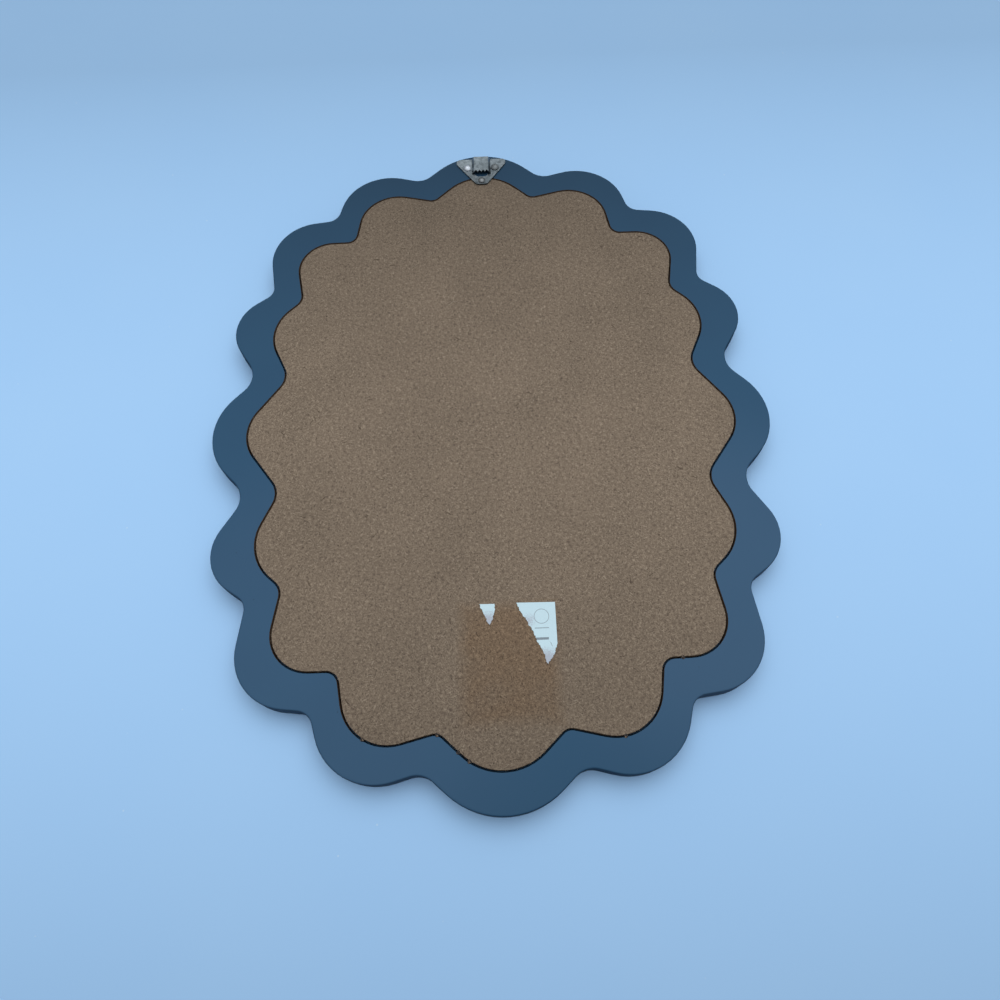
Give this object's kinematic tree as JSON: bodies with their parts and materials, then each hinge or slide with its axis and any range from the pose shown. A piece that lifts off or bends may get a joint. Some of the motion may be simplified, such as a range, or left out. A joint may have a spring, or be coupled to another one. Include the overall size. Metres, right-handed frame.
{
  "type": "wall mirror",
  "caption": "Oval scalloped wall mirror: blue fibreboard frame, glass behind a lip, hardboard back and a toothed hanger nailed to the back.",
  "frame": {"origin": "under the middle of the frame, on the plane of its front rim, which the mirror lies on as it is pictured", "axes": "+Z out of the back of the mirror, +Y towards the end with the hanger, which is the top when it hangs, +X to the right as the back is seen"},
  "size_m": [0.254, 0.3314, 0.0146],
  "materials": {
    "painted_fibreboard": "slate blue satin paint",
    "mirror_glass": "polished, silvered behind",
    "hardboard": "raw pressed fibre",
    "zinc_steel": "zinc plated",
    "foam": "soft closed-cell foam",
    "hot_melt": "cloudy, slightly glossy glue",
    "label_paper": "matt, torn edges"
  },
  "bodies": {
    "root": {"frame": "painted_fibreboard", "mirror_glass": "mirror_glass", "backing_board": "hardboard", "sawtooth_hanger": "zinc_steel", "hanger_tack": "zinc_steel", "hanger_nail_left": "zinc_steel", "hanger_nail_right": "zinc_steel", "foam_pad_top": "foam", "foam_pad_bottom": "foam", "foam_pad_left": "foam", "foam_pad_right": "foam", "glue_dab_right": "hot_melt", "glue_dab_lower_right": "hot_melt", "glue_dab_bottom": "hot_melt", "glue_dab_bottom_left": "hot_melt", "glue_dab_notch": "hot_melt", "glue_dab_lower_left": "hot_melt", "label_scrap_large": "label_paper", "label_scrap_small": "label_paper"}
  },
  "joints": []
}
